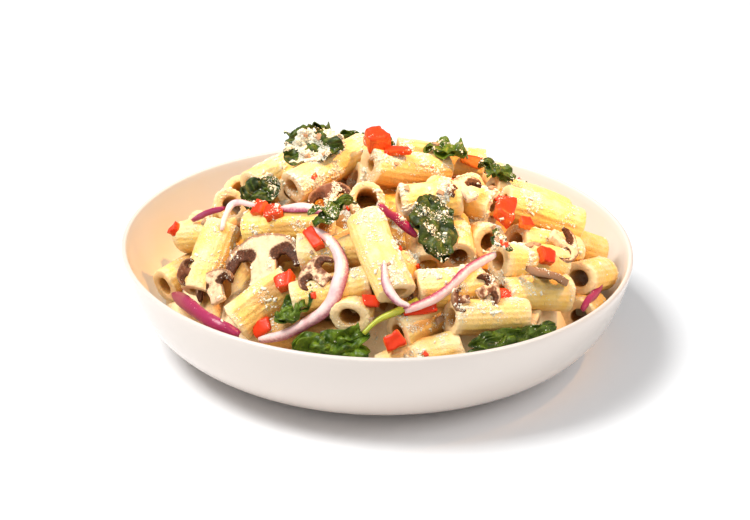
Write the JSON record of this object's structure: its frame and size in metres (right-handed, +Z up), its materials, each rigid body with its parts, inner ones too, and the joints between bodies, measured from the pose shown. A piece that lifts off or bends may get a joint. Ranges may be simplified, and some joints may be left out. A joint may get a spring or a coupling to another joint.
{
  "type": "bowl of pasta primavera alfredo",
  "caption": "Shallow white bowl heaped with rigatoni in cream sauce, with sliced mushroom, red onion, wilted spinach, diced tomato and grated cheese.",
  "frame": {"origin": "on the floor under the centre of the bowl, at the underside of its foot ring", "axes": "+Z up out of the bowl; the side shown in the picture faces -Y; the bowl is round about Z"},
  "size_m": [0.24, 0.24, 0.1054],
  "materials": {
    "bowl": "smooth warm white glaze, glossy",
    "pasta": "cooked ridged pasta coated in a thin cream sauce, moist sheen",
    "onion": "cooked red onion, pale flesh with a magenta outer skin",
    "spinach": "wilted dark green leaf, wet sheen",
    "stem": "yellow-green leaf stem, moist",
    "mushroom": "cooked sliced mushroom, beige flesh with dark brown gills and skin",
    "tomato": "diced ripe tomato, wet red flesh"
  },
  "bodies": {
    "root": {"bowl": "bowl", "onion_1": "onion", "onion_2": "onion", "onion_3": "onion", "onion_4": "onion", "onion_5": "onion", "onion_6": "onion", "onion_7": "onion", "onion_8": "onion", "onion_9": "onion", "onion_10": "onion", "onion_11": "onion", "spinach_stem_1": "stem", "mushroom_1": "mushroom", "mushroom_2": "mushroom", "mushroom_3": "mushroom", "mushroom_4": "mushroom", "mushroom_5": "mushroom", "mushroom_6": "mushroom", "mushroom_7": "mushroom", "mushroom_8": "mushroom", "mushroom_9": "mushroom", "mushroom_10": "mushroom", "mushroom_11": "mushroom", "mushroom_12": "mushroom", "tomato_1": "tomato", "tomato_2": "tomato", "tomato_3": "tomato", "tomato_4": "tomato", "tomato_5": "tomato", "tomato_6": "tomato", "tomato_7": "tomato", "tomato_8": "tomato", "tomato_9": "tomato", "tomato_10": "tomato", "tomato_11": "tomato", "tomato_12": "tomato", "tomato_13": "tomato", "tomato_14": "tomato", "tomato_15": "tomato", "tomato_16": "tomato", "tomato_17": "tomato", "tomato_18": "tomato", "spinach_1": "spinach", "spinach_2": "spinach", "spinach_3": "spinach", "spinach_4": "spinach", "spinach_5": "spinach", "spinach_6": "spinach", "spinach_7": "spinach", "spinach_8": "spinach", "spinach_9": "spinach", "spinach_10": "spinach", "spinach_11": "spinach", "spinach_12": "spinach", "spinach_13": "spinach", "pasta_heap": "pasta"}
  },
  "joints": []
}
